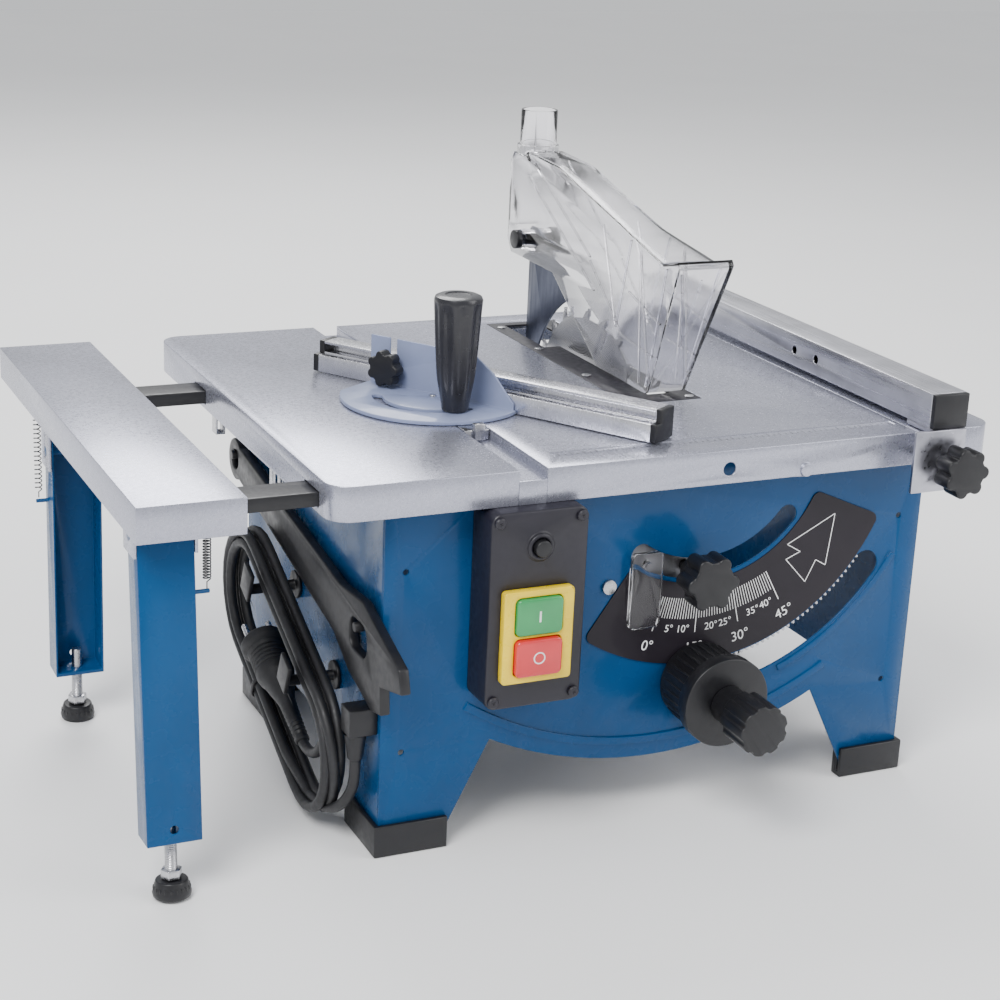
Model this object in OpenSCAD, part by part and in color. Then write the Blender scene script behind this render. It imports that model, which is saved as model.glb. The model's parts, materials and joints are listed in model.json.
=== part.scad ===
// Bench table saw with a side extension on folding legs, a mitre gauge,
// a rip fence, a clear blade guard and a blade that rises and tilts.
// X runs to the right along the front, -Y is the front, +Z is up.
// Left of the table centre is -X. The floor is z = 0.

/* [Table] */
// Height of the table top above the floor
table_h = 285; // [280:1:300]
// Depth of the table, front edge to back edge
table_d = 420; // [416:2:430]
// Width of the table without the side extension
table_w = 530; // [526:2:540]
// Width of the side extension
ext_w = 73; // [72:1:76]
// Open gap between the table and the side extension
ext_gap = 57; // [50:1:70]
// Height of the folded-down rims
rim_h = 25; // [24:1:27]

/* [Body] */
// Width of the sheet steel body
body_w = 438; // [434:2:444]
// Depth of the sheet steel body
body_d = 300; // [296:2:304]
// Distance from the table's front edge back to the front panel
panel_set = 20; // [18:1:22]

/* [Blade] */
// Diameter of the saw blade
blade_dia = 210; // [200:2:210]
// Cutting height with the blade fully raised
cut_h = 45; // [40:1:45]
// Number of teeth on the blade
blade_teeth = 24; // [12:2:36]

/* [Controls] */
// Diameter of the tilt wheel's flange
wheel_dia = 68; // [60:2:72]
// Diameter of the lift knob in front of the tilt wheel
lift_knob_dia = 38; // [34:1:42]
// Diameter of the tilt lock's star knob
lock_knob_dia = 42; // [36:2:46]
// Diameter of the rip fence's star knob
fence_knob_dia = 38; // [34:2:42]

/* [Mitre gauge] */
// Angle of the gauge at rest, turned clockwise from square
mitre_ang = 57; // [45:1:60]
// Length of the gauge's aluminium fence
mitre_len = 296; // [280:2:300]
// Height of the gauge's handle
handle_h = 91; // [80:1:95]

/* [Mains lead] */
// Diameter of the lead
cord_d = 8; // [7:0.5:8]

/* [Hidden] */
$fn = 48;
eps = 0.01;

// Running clearance of a shaft in a hole
run = 0.05;
// Thickness of the table's steel sheet and of its rims
sheet = 2;
rim_t = 1.5;
// Half sizes and levels of the table
hw = table_w / 2;
hd = table_d / 2;
under = table_h - sheet;
rim_z = table_h - rim_h;
// The middle plate lies between the mitre slot and the right wing
slot_l = -130;
slot_r = -109;
seam_r = 195;
// Body panels
bw = body_w / 2;
front_y = -hd + panel_set;
back_y = front_y + body_d;
// Blade tilt axis, just under the table top, running front to back
axis_x = 30;
axis_z = table_h - 5;
// The blade's plane and centre with the blade fully raised
blade_x = 54;
blade_y = 50;
blade_r = blade_dia / 2;
blade_z = table_h + cut_h - blade_r;
// Insert plate in the table
ins_x0 = 20;
ins_x1 = 84;
ins_y0 = -82;
ins_y1 = 184;
// Arch along the front panel's lower edge
arch_r = 292.6;
arch_z = 337.6;
// Slots of the front panel, as radii about the tilt axis
slot_in = 90;
slot_out = 177;
lock_a = -6.6;
// Tilt rack and its pinion
rack_m = 1.5;
rack_n = 224;
pin_n = 12;
// Vertical guide rods, lead screw, and motor gears
rod_y = [-45, 82];
screw_y = -90;
gear_n = 40;
motor_y = blade_y - rack_m * (gear_n + pin_n) / 2;
crank_z = axis_z - slot_out;
// Guard pivot
piv_y = 164;
piv_z = blade_z + 138;
// Side extension
ext_r = -hw - ext_gap;
ext_l = ext_r - ext_w;
rail_y = [-170, 90];
rail_z0 = table_h - 20.5;
rail_z1 = table_h - 10.5;
leg_w = 38;
leg_x = [-370, -362];
leg_hy = [-176, 105];
leg_hz = [256, 228];
leg_end = 42;
spring_x = [-342, -387.6];
spring_y = [-186, 113];
splay = [4.3, 1.7];
pad_r = 12.8;
// Mitre gauge pivot, and the radius of its curved slot
mit_x = (slot_l + slot_r) / 2;
mit_y = -30;
mit_slot = 42;
mit_r = 70;
// Front face of the gauge's upright plate, measured behind the pivot
mit_n = 5;
// Where the gauge's star screw sits along the plate, and its height
star_s = -41;
star_z = 18.5;
// Rip fence
fen_x0 = 198;
fen_w = 30;
fen_z = table_h + 5;
// Whole model shifted so that its box is centred over the origin
front_end = -292;
back_end = 215;
off = [-(ext_l + hw) / 2, -(front_end + back_end) / 2, 0];

// Mains lead: hank centre, half length, end radius and slope
hank_c = [-45, 92];
hank_h = 75;
hank_r = 55;
hank_a = 24;
hank_x0 = -252;
hank_x1 = -233;
// Where the plug's lead enters it, and the run that folds round into it
plug_y = -62;
plug_s = -16;
tail_s = 42.4;
cord_route = [
    [-232, -176, 72], [-232, -176, 62], [-233, -175, 50], [-236, -171, 39],
    [-239, -163, 30], [-241, -152, 24], [-242, -139, 20], [-242, -124, 17],
    [-242, -110, 15]
];

// Colours
blue = [0.04, 0.38, 0.66];
zinc = [0.72, 0.72, 0.78];
black = [0.1, 0.1, 0.11];
steel = [0.6, 0.61, 0.63];

module place() translate(off) children();

// A flat shape drawn in X and Z, standing from y0 to y1
module upright(y0, y1) translate([0, y1, 0]) rotate([90, 0, 0])
    linear_extrude(y1 - y0) children();

// A flat shape drawn in Y and Z, standing from x0 to x1
module sideways(x0, x1) translate([x0, 0, 0]) rotate([90, 0, 90])
    linear_extrude(x1 - x0) children();

// A cylinder along Y at x and z, from y0 to y1
module rod_along_y(r, x, z, y0, y1) translate([x, y1, z]) rotate([90, 0, 0])
    cylinder(r = r, h = y1 - y0);

// A cylinder along X at y and z, from x0 to x1
module rod_along_x(r, y, z, x0, x1) translate([x0, y, z]) rotate([0, 90, 0])
    cylinder(r = r, h = x1 - x0);

// A box given by its two corners
module box(a, b) translate(a) cube(b - a);

// A point at radius r, a degrees from straight down, positive to the right
function down(r, a) = [r * sin(a), -r * cos(a)];

// A wedge from angle a0 to a1 that reaches past radius r
module wedge(r, a0, a1) polygon(concat([[0, 0]],
    [for (i = [0:4]) down(r * 1.3, a0 + (a1 - a0) * i / 4)]));

// A band between two radii
module band(r0, r1, a0, a1) intersection() {
    difference() {
        circle(r1, $fn = 96);
        circle(r0, $fn = 96);
    }
    wedge(r1, a0, a1);
}

// A slot with round ends along radius r, reaching h to each side of it
module arc_slot(r, h, a0, a1) {
    band(r - h, r + h, a0, a1);
    for (a = [a0, a1]) translate(down(r, a)) circle(h + 0.05);
}

// One gear tooth with involute sides, pointing down
function inv(a) = tan(a) * 180 / PI - a;
function tooth(n, m, add, ded) =
    let (rp = n * m / 2, rb = rp * cos(20), r0 = max(rb, rp - ded), r1 = rp + add,
         half = 90 / n - 0.3 / rp * 90 / PI,
         side = [for (i = [0:3]) let (r = r0 + (r1 - r0) * i / 3)
             [r, half + inv(20) - inv(acos(min(1, rb / r)))]])
    concat([down(rp - ded - 0.6, -side[0][1])],
        [for (s = side) down(s[0], -s[1])],
        [for (i = [3:-1:0]) down(side[i][0], side[i][1])],
        [down(rp - ded - 0.6, side[0][1])]);
module teeth(n, m, add, ded, first, last)
    for (i = [first:last]) rotate(i * 360 / n) polygon(tooth(n, m, add, ded));
module gear_2d(n, m, add, ded) {
    circle(n * m / 2 - ded, $fn = 64);
    teeth(n, m, add, ded, 0, n - 1);
}

// A star knob outline with round lobes
module star(r, lobes) {
    circle(r * 0.8);
    for (i = [0:lobes - 1]) rotate(i * 360 / lobes) translate([r * 0.74, 0])
        circle(r * 0.26, $fn = 24);
}

// A plate with round corners, w by d, centred
module round_rect(w, d, r) {
    square([w - 2 * r, d], center = true);
    square([w, d - 2 * r], center = true);
    for (x = [-1, 1], y = [-1, 1])
        translate([x * (w / 2 - r), y * (d / 2 - r)]) circle(r);
}

// ---------- body ----------

module leg_cut(x0, x1, foot, top, z) polygon([
    [x0 + foot, -1], [x0 + top, z], [x1 - top, z], [x1 - foot, -1]]);

// Room for the mitre channel in the top edge of a panel
module channel_notch() translate([slot_l - 1.5, table_h - 9.8]) square([24, 20]);

module front_2d() difference() {
    translate([-bw, 4]) square([body_w, under - 4]);
    difference() {
        leg_cut(-bw, bw, 44, 84, 78);
        translate([0, arch_z]) circle(arch_r, $fn = 180);
    }
    translate([axis_x, axis_z]) {
        arc_slot(slot_in, 8, -34, 51);
        arc_slot(slot_out, 11.5, -3, 54);
    }
    for (x = [-203, 200], z = [78, 213]) translate([x, z]) circle(2.2);
    channel_notch();
}

module front_panel() color(blue) place() {
    upright(front_y, front_y + 2) front_2d();
    // Pressed beads along the bottom edge and around the wide slot
    upright(front_y - 2, front_y + eps) translate([0, arch_z])
        band(arch_r - 17.6, arch_r - 11.6, -34, 31);
    upright(front_y - 2, front_y + eps) translate([axis_x, axis_z])
        band(slot_out + 13.5, slot_out + 18.5, 22, 60);
}

module side_2d() difference() {
    translate([front_y + 2, 4]) square([body_d - 4, under - 4]);
    polygon([[-142, -1], [-128, 57], [48, 57], [62, -1]]);
    for (y = rail_y) translate([y - 15, rail_z0 - 1]) square([30, 12]);
}

module side_panels() color(blue) place() {
    sideways(-bw, -bw + 2) side_2d();
    sideways(bw - 2, bw) side_2d();
}

module rear_panel() color(blue) place() upright(back_y - 2, back_y)
difference() {
    translate([-bw, 4]) square([body_w, under - 4]);
    leg_cut(-bw, bw, 60, 74, 50);
    translate([0, 80]) square([200, 300]);
    translate([axis_x, axis_z]) arc_slot(178, 5, -73, -22);
    channel_notch();
}

// L-shaped plastic shoes on the four corners
module foot_caps() color(black) place()
for (sx = [-1, 1], sy = [-1, 1])
    translate([0, (front_y + back_y) / 2, 0]) scale([sx, sy, 1])
    difference() {
        union() {
            box([bw - 52, body_d / 2 - 8, 0], [bw + 4, body_d / 2 + 4, 24]);
            box([bw - 8, body_d / 2 - 58, 0], [bw + 4, body_d / 2 + 4, 24]);
        }
        box([bw - 60, body_d / 2 - 2, 4], [bw, body_d / 2, 30]);
        box([bw - 2, body_d / 2 - 70, 4], [bw, body_d / 2 - 1, 30]);
    }

// ---------- table ----------

// Sheet with rims on chosen sides: left, right, and always front and back
module rimmed(x0, x1, left, right) {
    box([x0, -hd, under], [x1, hd, table_h]);
    for (y = [-hd, hd - rim_t]) box([x0, y, rim_z], [x1, y + rim_t, under]);
    if (left) box([x0, -hd, rim_z], [x0 + rim_t, hd, under]);
    if (right) box([x1 - rim_t, -hd, rim_z], [x1, hd, under]);
}

// Two rounded outer corners cut from a table piece, at x with inside dir
module corner_cut(x, dir, r) for (s = [-1, 1])
    translate([x + dir * r, s * (hd - r), rim_z - 1]) difference() {
        translate([dir > 0 ? -r - 1 : 0, s > 0 ? 0 : -r - 1, 0])
            cube([r + 1, r + 1, rim_h + 2]);
        translate([0, 0, -1]) cylinder(r = r, h = rim_h + 4);
    }
module corner_rim(x, dir, r) for (s = [-1, 1])
    translate([x + dir * r, s * (hd - r), rim_z]) intersection() {
        difference() {
            cylinder(r = r, h = rim_h - sheet);
            translate([0, 0, -1]) cylinder(r = r - rim_t, h = rim_h);
        }
        translate([dir > 0 ? -r : 0, s > 0 ? 0 : -r, 0]) cube([r, r, rim_h]);
    }

module table_main() color(zinc) place() difference() {
    union() {
        rimmed(slot_r, seam_r, false, false);
        // Frame that carries the insert
        box([ins_x0 - 4, ins_y0 - 6, under - 3], [ins_x1 + 4, ins_y1 + 6, under]);
        // Bolt head at the bottom of the front rim
        rod_along_y(5, 99, rim_z + 5, -hd - 2.5, -hd + eps);
    }
    box([ins_x0 - 0.3, ins_y0 - 0.3, under], [ins_x1 + 0.3, ins_y1 + 0.3, table_h + 1]);
    box([ins_x0 + 8, ins_y0 + 6, under - 4], [ins_x1 - 8, ins_y1 - 6, table_h]);
    // Shallow scale groove, and the sight hole in the rim
    box([-92, -186, table_h - 0.6], [191, -177, table_h + 1]);
    rod_along_y(5, 35, table_h - 14, -hd - 1, -hd + 4);
}

module table_left() color(zinc) place() difference() {
    union() {
        difference() {
            rimmed(-hw, slot_l, true, false);
            corner_cut(-hw, 1, 18);
        }
        corner_rim(-hw, 1, 18);
    }
    for (y = rail_y) box([-hw - 1, y - 15, rail_z0 - 0.6], [-hw + 3, y + 15, rail_z1 + 0.6]);
}

module table_right() color(zinc) place() {
    difference() {
        rimmed(seam_r, hw, false, true);
        corner_cut(hw, -1, 18);
    }
    corner_rim(hw, -1, 18);
}

module mitre_channel() color(zinc) place() {
    box([slot_l - 1.2, -hd + rim_t, table_h - 9.5], [slot_r + 1.2, hd - rim_t, table_h - 8]);
    for (x = [slot_l - 1.2, slot_r]) box([x, -hd + rim_t, table_h - 8], [x + 1.2, hd - rim_t, under]);
    for (y = [-hd, hd - rim_t]) box([slot_l, y, rim_z], [slot_r, y + rim_t, table_h - 8]);
}

module table_insert() color(black) place() difference() {
    box([ins_x0, ins_y0, under], [ins_x1, ins_y1, table_h]);
    // Blade opening, wider on the side that the blade leans to
    box([48.5, -60, under - 1], [67, 175, table_h + 1]);
    box([34, 96, under - 1], [67, 175, table_h + 1]);
}

module rail_guides() color(black) place()
for (x = [-258, -207], y = rail_y) difference() {
    box([x, y - 18, rail_z0 - 4], [x + 12, y + 18, under]);
    box([x - 1, y - 14.3, rail_z0 - 0.3], [x + 13, y + 14.3, rail_z1 + 0.3]);
}

// Small hooks under the left edge of the table
module table_hooks() color(zinc) place() for (y = [-82, 58]) {
    box([-263.5, y - 5, 246], [-262, y + 5, under]);
    box([-263.5, y - 5, 246], [-256, y + 5, 247.5]);
    box([-257.5, y - 5, 247.5], [-256, y + 5, 253]);
}

// ---------- switch ----------

sw = [-118.5, 188];
sw_y = front_y - 33;

module switch_box() color([0.2, 0.2, 0.23]) place() difference() {
    union() {
        upright(sw_y, front_y) translate(sw) round_rect(73, 144, 8);
        rod_along_y(10, sw[0], sw[1] + 46, sw_y - 3, sw_y + 1);
    }
    // Well behind the two buttons, and the reset button's hole
    upright(sw_y - 1, sw_y + 14) translate([sw[0] - 1.5, sw[1] - 17]) square([38, 60], center = true);
    rod_along_y(6.3, sw[0], sw[1] + 46, sw_y - 4, sw_y + 12);
}

module switch_bezel() color([0.94, 0.82, 0.1]) place() upright(sw_y - 7, sw_y)
translate([sw[0] - 1.5, sw[1] - 17]) difference() {
    round_rect(53, 68, 3);
    for (z = [-15, 15]) translate([0, z]) round_rect(35.8, 27.8, 4);
}

module push_button(z, y_out) upright(sw_y - y_out, sw_y + 5)
    translate([sw[0] - 1.5, sw[1] - 17 + z]) round_rect(35, 27, 4);
module start_button() color([0.2, 0.65, 0.35]) place() push_button(15, 9);
module stop_button() color([0.85, 0.2, 0.2]) place() push_button(-15, 10.5);
module reset_button() color(black) place()
    rod_along_y(6, sw[0], sw[1] + 46, sw_y - 7, sw_y + 6);

module root_screws() color(steel) place() {
    for (x = [-31, 31], z = [-65.5, 65.5])
        rod_along_y(4, sw[0] + x, sw[1] + z, sw_y - 1.5, sw_y);
    rod_along_y(5.5, -46, 184, front_y - 2.5, front_y);
    for (p = [[27, 168], [27, 92], [27, 4], [77, -74]])
        translate([p[0], p[1], table_h]) cylinder(r = 3.6, h = 0.8);
}

// ---------- scale and rack on the front panel ----------

module scale_plate() color([0.25, 0.24, 0.26]) place() upright(front_y - 1, front_y)
translate([axis_x, axis_z]) {
    band(107, 158, -35, 67);
    band(101, 164, -32, 64);
    // Rounded corners
    for (a = [-35 + 3.2, 67 - 3.2]) translate(down(107, a)) circle(6.05);
    for (a = [-35 + 2.2, 67 - 2.2]) translate(down(158, a)) circle(6.05);
}

module tilt_rack() color(steel) place() upright(front_y + 2, front_y + 6)
translate([axis_x, axis_z]) intersection() {
    union() {
        difference() {
            circle(rack_m * rack_n / 2 - 1.85, $fn = 180);
            circle(156, $fn = 180);
        }
        teeth(rack_n, rack_m, 1, 1.85, -5, 36);
    }
    wedge(180, -9, 59);
}

// ---------- tilt unit ----------

module tilt_frame() color([0.3, 0.31, 0.33]) place() {
    // Front trunnion plate with its bearings
    difference() {
        upright(front_y + 8, front_y + 12) polygon([
            [-50, 245], [-20, 272], [20, 272], [44, 235], [58, 85], [-20, 85], [-64, 150]]);
        rod_along_y(6.5 + run, axis_x, crank_z, front_y + 7, front_y + 13);
        translate([axis_x, 0, axis_z]) let (p = down(slot_in, lock_a))
            rod_along_y(4 + run, p[0], p[1], front_y + 7, front_y + 13);
    }
    // Rear plate with the pin that runs in the rear panel's slot
    upright(96, 100) polygon([
        [-60, 245], [-20, 272], [20, 272], [28, 245], [28, 85], [-20, 85],
        [-60, 150], [-150, 202], [-146, 232]]);
    translate([axis_x, 0, axis_z]) let (p = down(178, -70)) rod_along_y(4, p[0], p[1], 99, 116);
    // Upper and lower plates that hold the guide rods
    box([-20, front_y + 12, 266], [20, 96, 272]);
    difference() {
        box([-20, front_y + 12, 85], [40, 96, 91]);
        translate([axis_x, screw_y, 80]) cylinder(r = 5 + run, h = 20);
    }
}

module guide_rods() color(steel) place()
    for (y = rod_y) translate([0, y, 91]) cylinder(r = 6, h = 175);

// Clear reading pointer held by a screw that runs in the inner slot
module pointer() color([0.8, 0.85, 0.9, 0.5]) place()
translate([axis_x, 0, axis_z]) let (p = down(94, -31)) {
    upright(front_y - 7, front_y - 2) translate([p[0], p[1] - 20]) round_rect(25, 58, 4);
    rod_along_y(2.5, p[0], p[1], front_y - 9, front_y + 8);
}

// Star knob and bolt that clamp the tilt
module lock_knob() color(black) place()
translate([axis_x, 0, axis_z]) let (p = down(slot_in, lock_a)) {
    rod_along_y(4, p[0], p[1], front_y - 20, front_y + 13);
    rod_along_y(8, p[0], p[1], front_y + 12.2, front_y + 18, $fn = 6);
    rod_along_y(9.5, p[0], p[1], front_y - 17, front_y - 2);
    upright(front_y - 37, front_y - 17) translate(p) star(lock_knob_dia / 2, 6);
}

// Tilt wheel: drum, flange, hollow shaft and the pinion in the rack
module tilt_wheel() color(black) place() difference() {
    union() {
        rod_along_y(30, axis_x, crank_z, front_y - 38, front_y - 3);
        rod_along_y(wheel_dia / 2, axis_x, crank_z, front_y - 50, front_y - 38);
        rod_along_y(6.5, axis_x, crank_z, front_y - 4, front_y + 15);
        upright(front_y + 2.4, front_y + 6) translate([axis_x, crank_z])
            rotate(180 / pin_n) gear_2d(pin_n, rack_m, 1.5, 1.35);
        rod_along_y(9, axis_x, crank_z, front_y + 12.4, front_y + 15);
    }
    rod_along_y(4 + run, axis_x, crank_z, front_y - 60, front_y + 20);
}

// Lift knob, its shaft through the tilt wheel, and a bevel wheel
module lift_knob() color(black) place() {
    rod_along_y(14, axis_x, crank_z, front_y - 73, front_y - 50.5);
    upright(front_end, front_y - 72) translate([axis_x, crank_z]) difference() {
        circle(lift_knob_dia / 2);
        for (i = [0:8]) rotate(i * 40) translate([lift_knob_dia / 2 + 2.2, 0]) circle(4, $fn = 24);
    }
    rod_along_y(4, axis_x, crank_z, front_y - 60, screw_y - 8);
    translate([axis_x, screw_y - 12, crank_z]) rotate([-90, 0, 0])
        cylinder(r1 = 11.3, r2 = 7.3, h = 4);
}

module lead_screw() color(steel) place() translate([axis_x, screw_y, 0]) {
    translate([0, 0, 85]) cylinder(r = 5, h = 177);
    translate([0, 0, crank_z + 8]) cylinder(r1 = 7.3, r2 = 11.3, h = 4);
}

// ---------- lift carriage ----------

module case_2d(rg, rp, h) {
    translate([blade_y, blade_z]) circle(rg);
    translate([motor_y, blade_z]) circle(rp);
    translate([motor_y, blade_z - h]) square([blade_y - motor_y, 2 * h]);
}

module lift_carriage() color([0.45, 0.46, 0.48]) place() difference() {
    union() {
        difference() {
            sideways(10, 34) case_2d(37, 20, 20);
            sideways(14, 30) case_2d(33, 14, 14);
        }
        // Bushes on the guide rods and the nut on the lead screw
        for (y = rod_y) translate([0, y, blade_z - 20]) cylinder(r = 12, h = 40);
        box([0, rod_y[1] - 8, blade_z - 20], [14, rod_y[1] + 4, blade_z + 20]);
        box([10.5, rod_y[0] - 6, blade_z - 13], [22, -6, blade_z + 13]);
        box([-2, rod_y[0] - 6, blade_z - 13], [22, rod_y[0] + 6, blade_z + 13]);
        box([18, screw_y - 10, blade_z - 10], [40, -6, blade_z + 10]);
        // Arm that carries the riving knife behind the blade
        box([34 - eps, 62, blade_z - 18], [44, 172, blade_z + 8]);
        box([44 - eps, 160, blade_z - 16], [53, 171, blade_z + 6]);
    }
    for (y = rod_y) translate([0, y, blade_z - 30]) cylinder(r = 6 + run, h = 60);
    translate([axis_x, screw_y, blade_z - 20]) cylinder(r = 5 + run, h = 40);
    rod_along_x(8 + run, blade_y, blade_z, 9, 35);
    rod_along_x(5 + run, motor_y, blade_z, 9, 29);
}

module motor() color([0.25, 0.25, 0.27]) place() difference() {
    union() {
        rod_along_x(38, motor_y, blade_z, -100, 10);
        rod_along_x(30, motor_y, blade_z, -112, -99);
    }
    rod_along_x(5 + run, motor_y, blade_z, -60, 11);
}

module motor_shaft() color(steel) place() {
    rod_along_x(5, motor_y, blade_z, -59, 28.5);
    sideways(16, 28) translate([motor_y, blade_z]) rotate(90 + 180 / pin_n)
        gear_2d(pin_n, rack_m, 1.5, 1.35);
}

module arbor() color(steel) place() {
    rod_along_x(8, blade_y, blade_z, 11, 66);
    sideways(16, 28) translate([blade_y, blade_z]) rotate(-90) gear_2d(gear_n, rack_m, 1, 1.85);
    rod_along_x(17, blade_y, blade_z, 46.5, blade_x - 0.9);
    rod_along_x(17, blade_y, blade_z, blade_x + 0.9, 59);
    rod_along_x(10, blade_y, blade_z, 59, 67, $fn = 6);
}

module saw_blade() color([0.62, 0.63, 0.66]) place() {
    sideways(blade_x - 0.9, blade_x + 0.9) translate([blade_y, blade_z]) difference() {
        union() {
            circle(blade_r - 9, $fn = 120);
            for (i = [0:blade_teeth - 1]) rotate(i * 360 / blade_teeth) polygon([
                [blade_r - 14, -9], [blade_r - 3, -2], [blade_r - 1.2, 3], [blade_r - 14, 3]]);
        }
        circle(8, $fn = 48);
        for (i = [0:3]) rotate(i * 90 + 20) translate([blade_r - 24, -1]) square([30, 2]);
    }
    // Carbide tips
    sideways(blade_x - 1.3, blade_x + 1.3) translate([blade_y, blade_z])
        for (i = [0:blade_teeth - 1]) rotate(i * 360 / blade_teeth)
            translate([blade_r - 6.5, 1.5]) square([6.3, 2.1]);
}

module riving_knife() color([0.28, 0.3, 0.36]) place() difference() {
    sideways(blade_x - 1, blade_x + 1) difference() {
        union() {
            polygon([
                [120, blade_z - 25], [173, blade_z - 25], [173, piv_z + 6], [168, piv_z + 10],
                [156, piv_z + 10], [96, blade_z + 120], [84, blade_z + 106], [84, blade_z + 80]]);
        }
        translate([blade_y, blade_z]) circle(blade_r + 4, $fn = 120);
    }
    rod_along_x(4 + run, piv_y, piv_z, blade_x - 3, blade_x + 3);
}

// ---------- guard ----------

module guard_bolt() color(black) place() {
    rod_along_x(4, piv_y, piv_z, 34, 74);
    rod_along_x(8, piv_y, piv_z, 33, 38.3);
    rod_along_x(9, piv_y, piv_z, 69.7, 76);
}

guard_x0 = blade_x - 15.5;
guard_x1 = blade_x + 15.5;
gz = table_h;
guard_out = [
    [188, gz + 75], [188, gz + 142], [182, gz + 150], [152, gz + 154], [94, gz + 151],
    [40, gz + 138], [-31, gz + 122], [-99, gz + 111], [-122, gz + 117], [-125, gz + 113],
    [-78, gz + 7], [-74, gz + 5], [9, gz + 5], [98, gz + 63], [180, gz + 64]
];
guard_in = [
    [190, gz + 0], [190, gz + 86], [186, gz + 86], [186, gz + 141], [181, gz + 148],
    [152, gz + 152], [94, gz + 149],
    [40.5, gz + 136], [-30.5, gz + 120], [-98.5, gz + 109], [-119.5, gz + 114], [-122, gz + 111.5],
    [-76, gz + 7], [-73, gz + 0]
];

module guard() color([0.85, 0.88, 0.92, 0.4]) place() difference() {
    union() {
        difference() {
            sideways(guard_x0, guard_x1) polygon(guard_out);
            sideways(guard_x0 + 2, guard_x1 - 2) polygon(guard_in);
        }
        for (x = [[guard_x0 + 1, blade_x - 1.4], [blade_x + 1.4, guard_x1 - 1]])
            rod_along_x(8, piv_y, piv_z, x[0], x[1]);
        // Dust port on top
        translate([blade_x, 168, gz + 150]) cylinder(r = 15.4, h = 37);
        translate([blade_x, 168, gz + 150]) cylinder(r = 17.5, h = 8);
    }
    translate([blade_x, 168, gz + 140]) cylinder(r = 13.4, h = 60);
    rod_along_x(4 + run, piv_y, piv_z, 30, 80);
}

// ---------- rip fence ----------

module fence_rail() color([0.75, 0.75, 0.78]) place() difference() {
    box([fen_x0, -218, fen_z], [fen_x0 + fen_w, 212, fen_z + 26]);
    box([fen_x0 + 2, -219, fen_z + 2], [fen_x0 + fen_w - 2, 213, fen_z + 24]);
    for (y = [-62, -30]) rod_along_x(3.5, y, fen_z + 13, fen_x0 - 1, fen_x0 + 3);
}

module fence_cap() color(black) place() {
    box([fen_x0, -223, fen_z], [fen_x0 + fen_w, -218, fen_z + 26]);
    box([fen_x0 + 2, -218, fen_z + 2], [fen_x0 + fen_w - 2, -208, fen_z + 24]);
}

module fence_clamp() color(steel) place() {
    difference() {
        union() {
            box([182, -226, 243], [226, -223, fen_z]);
            box([fen_x0, -223 - eps, table_h + 1], [fen_x0 + fen_w, -190, fen_z]);
        }
        rod_along_y(4 + run, 212, 263, -227, -222);
    }
    // Hook over the back rim
    box([fen_x0, 190, table_h + 1], [fen_x0 + fen_w, 212 + eps, fen_z]);
    box([fen_x0, 212, 262], [fen_x0 + fen_w, back_end, fen_z]);
}

module fence_knob() color(black) place() {
    rod_along_y(4, 212, 263, -240, -212.8);
    rod_along_y(9, 212, 263, -234, -226.4);
    upright(-252, -234) translate([212, 263]) star(fence_knob_dia / 2, 7);
}

// ---------- mitre gauge ----------

// Places a shape drawn about the gauge's pivot, turned to its rest angle
module gauge() place() translate([mit_x, mit_y, 0]) rotate(-mitre_ang) children();

module mitre_bar() color([0.5, 0.51, 0.53]) place() {
    box([mit_x - 9.5, -113, table_h - 7.8], [mit_x + 9.5, 150, table_h + 0.2]);
    box([mit_x - 4, -119, table_h - 6], [mit_x + 4, -113 + eps, table_h + 6]);
    translate([mit_x, mit_y, table_h]) cylinder(r = 2.5, h = 4.5);
}

module mitre_head() color([0.5, 0.58, 0.76]) gauge() {
    translate([0, 0, table_h + 0.5]) linear_extrude(3) difference() {
        intersection() {
            circle(mit_r, $fn = 96);
            translate([-62, -mit_r]) square([62 + mit_r, mit_r + mit_n + 2]);
        }
        arc_slot(mit_slot, 4, -50, 72);
        circle(2.5 + run);
    }
    upright(mit_n, mit_n + 2) difference() {
        polygon([
            [-62, table_h + 3], [-62, table_h + 40], [32, table_h + 40],
            [50, table_h + 28], [68, table_h + 8], [68, table_h + 3]]);
        translate([star_s, table_h + star_z]) circle(3.2);
        translate([star_s - 3.2, table_h + star_z]) square([6.4, 30]);
    }
}

// Handle that clamps the gauge through its curved slot
module mitre_handle() color(black) place() translate([mit_x, mit_y - mit_slot, table_h]) {
    translate([0, 0, 0.4]) cylinder(r = 3.2, h = 10);
    translate([0, 0, 3.8]) cylinder(r1 = 10, r2 = 14, h = 22);
    translate([0, 0, 25.8]) cylinder(r1 = 14, r2 = 18, h = handle_h - 30);
    translate([0, 0, handle_h - 4.2]) cylinder(r1 = 18, r2 = 15, h = 4);
}

// The aluminium fence: a low front ledge and a higher block behind it
fence_s1 = 182;
fence_s0 = fence_s1 - mitre_len;
fence_n = mit_n + 2.3;
fence_2d = [[0, 0], [25.7, 0], [25.7, 23], [7.7, 23], [7.7, 13.5], [0, 13.5]];
module mitre_fence() color([0.8, 0.8, 0.82]) gauge() sideways(fence_s0, fence_s1)
translate([fence_n, table_h + 0.8]) difference() {
    polygon(fence_2d);
    // T-slot that opens to the front
    translate([7, star_z - 3.9]) square([7, 6.2]);
    translate([14 - eps, star_z - 5.4]) square([3.5, 9.2]);
}

module mitre_caps() color(black) gauge() for (x = [fence_s0 - 5, fence_s1])
    sideways(x, x + 5) translate([fence_n, table_h + 0.8]) polygon(fence_2d);

module mitre_knob() color(black) gauge() translate([star_s, mit_n, table_h + star_z]) {
    rod_along_y(2.9, 0, 0, -4, 15);
    rod_along_y(8, 0, 0, -5, -0.3);
    upright(-15, -5) star(14, 7);
}

// ---------- side extension ----------

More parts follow.
